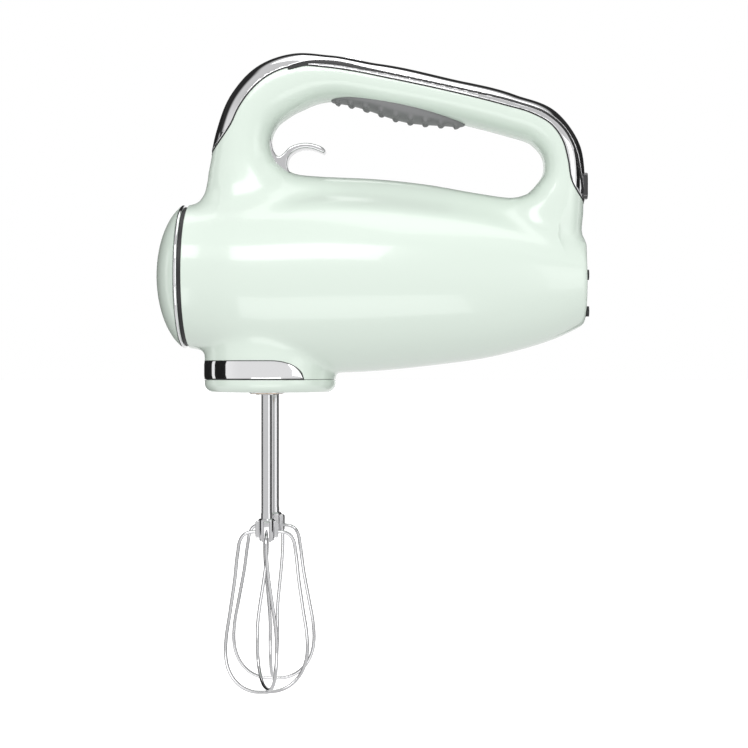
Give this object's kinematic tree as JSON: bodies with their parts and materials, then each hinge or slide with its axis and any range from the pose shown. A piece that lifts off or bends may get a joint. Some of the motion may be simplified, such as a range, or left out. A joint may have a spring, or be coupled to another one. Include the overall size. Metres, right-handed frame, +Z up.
{
  "type": "hand mixer",
  "caption": "Electric hand mixer: torpedo body with a looped handle, eject trigger, geared spindles and removable wire beaters.",
  "frame": {"origin": "middle of the hand grip, in the middle plane", "axes": "+X from the nose to the heel, +Y to the user's right, +Z up from the beaters to the handle"},
  "size_m": [0.2191, 0.09, 0.3236],
  "materials": {
    "shell_plastic": "glossy pastel green",
    "bright_trim": "polished",
    "grip_rubber": "matt",
    "dark_rubber": "matt",
    "inner_plastic": "moulded",
    "frame_metal": "die cast",
    "bearing_bronze": "sintered",
    "shaft_steel": "ground",
    "spring_steel": "drawn",
    "gear_plastic": "acetal",
    "core_steel": "laminated",
    "winding_copper": "enamelled",
    "brush_carbon": "pressed carbon",
    "board_green": "printed board",
    "lens_black": "gloss black",
    "screw_steel": "plated",
    "beater_chrome": "polished"
  },
  "bodies": {
    "housing": {"housing_left": "shell_plastic", "housing_right": "shell_plastic", "handle_trim": "bright_trim", "collar_band": "bright_trim", "nose_cap": "shell_plastic", "nose_ring": "bright_trim", "nose_gasket": "dark_rubber", "front_bulkhead": "inner_plastic", "nose_screws": "screw_steel", "collar_base": "shell_plastic", "collar_screws": "screw_steel", "gear_frame": "frame_metal", "spindle_bushes": "bearing_bronze", "worm_bearing": "bearing_bronze", "front_bearing": "bearing_bronze", "rear_bearing": "bearing_bronze", "motor_stator": "core_steel", "field_coils": "winding_copper", "motor_bracket": "frame_metal", "brush_holders": "inner_plastic", "carbon_brushes": "brush_carbon", "trigger_pin": "shaft_steel", "trigger_spring": "spring_steel", "grip_pad": "grip_rubber", "switch_module": "inner_plastic", "control_board": "board_green", "display_lens": "lens_black", "display_module": "inner_plastic", "heel_plate": "inner_plastic", "cord_gland": "dark_rubber", "heel_feet": "dark_rubber"},
    "motor_rotor": {"motor_shaft": "shaft_steel", "drive_worm": "shaft_steel", "cooling_fan": "inner_plastic", "armature_core": "core_steel", "armature_windings": "winding_copper", "commutator": "winding_copper"},
    "spindle_left": {"spindle_left": "shaft_steel", "worm_wheel_left": "gear_plastic", "eject_spring_left": "spring_steel"},
    "spindle_right": {"spindle_right": "shaft_steel", "worm_wheel_right": "gear_plastic", "eject_spring_right": "spring_steel"},
    "eject_pin_left": {"eject_pin_left": "shaft_steel"},
    "eject_pin_right": {"eject_pin_right": "shaft_steel"},
    "eject_yoke": {"eject_yoke": "shaft_steel"},
    "eject_trigger": {"eject_trigger": "bright_trim"},
    "speed_slider": {"speed_slider": "bright_trim"},
    "beater_left": {"beater_shaft_left": "beater_chrome", "beater_hub_left": "beater_chrome", "beater_wires_left": "beater_chrome"},
    "beater_right": {"beater_shaft_right": "beater_chrome", "beater_hub_right": "beater_chrome", "beater_wires_right": "beater_chrome"}
  },
  "joints": [
    {"name": "motor_spin", "type": "hinge", "parent": "housing", "child": "motor_rotor", "pos_m": [-0.07, 0, -0.0945], "axis": [1, 0, 0], "continuous": true},
    {"name": "spindle_left_spin", "type": "hinge", "parent": "housing", "child": "spindle_left", "pos_m": [-0.07, -0.02, -0.0945], "axis": [0, 0, 1], "continuous": true},
    {"name": "spindle_right_spin", "type": "hinge", "parent": "housing", "child": "spindle_right", "pos_m": [-0.07, 0.02, -0.0945], "axis": [0, 0, 1], "continuous": true},
    {"name": "eject_slide", "type": "slide", "parent": "housing", "child": "eject_yoke", "axis": [0, 0, -1], "range_m": [0, 0.0046], "stiffness_N_per_m": 800, "springref_m": -0.006},
    {"name": "trigger_pull", "type": "hinge", "parent": "housing", "child": "eject_trigger", "pos_m": [-0.072, 0, -0.0445], "axis": [0, -1, 0], "range_deg": [0, 18]},
    {"name": "eject_left", "type": "slide", "parent": "spindle_left", "child": "eject_pin_left", "axis": [0, 0, -1], "range_m": [0, 0.0047], "deforming": ["eject_spring_left"]},
    {"name": "eject_right", "type": "slide", "parent": "spindle_right", "child": "eject_pin_right", "axis": [0, 0, -1], "range_m": [0, 0.0047], "deforming": ["eject_spring_right"]},
    {"name": "beater_left_pull", "type": "slide", "parent": "eject_pin_left", "child": "beater_left", "axis": [0, 0, -1], "range_m": [0, 0.05]},
    {"name": "beater_right_pull", "type": "slide", "parent": "eject_pin_right", "child": "beater_right", "axis": [0, 0, -1], "range_m": [0, 0.05]},
    {"name": "speed_slide", "type": "slide", "parent": "housing", "child": "speed_slider", "axis": [0.9857, 0, -0.1685], "range_m": [-0.0025, 0.0025], "stiffness_N_per_m": 300}
  ],
  "couplings": [
    {"joint": "spindle_left_spin", "follows": "motor_spin", "ratio": 0.05},
    {"joint": "spindle_right_spin", "follows": "motor_spin", "ratio": -0.05},
    {"joint": "trigger_pull", "follows": "eject_slide", "rad_per_m": 67.568},
    {"joint": "eject_left", "follows": "eject_slide", "ratio": 1},
    {"joint": "eject_right", "follows": "eject_slide", "ratio": 1}
  ]
}
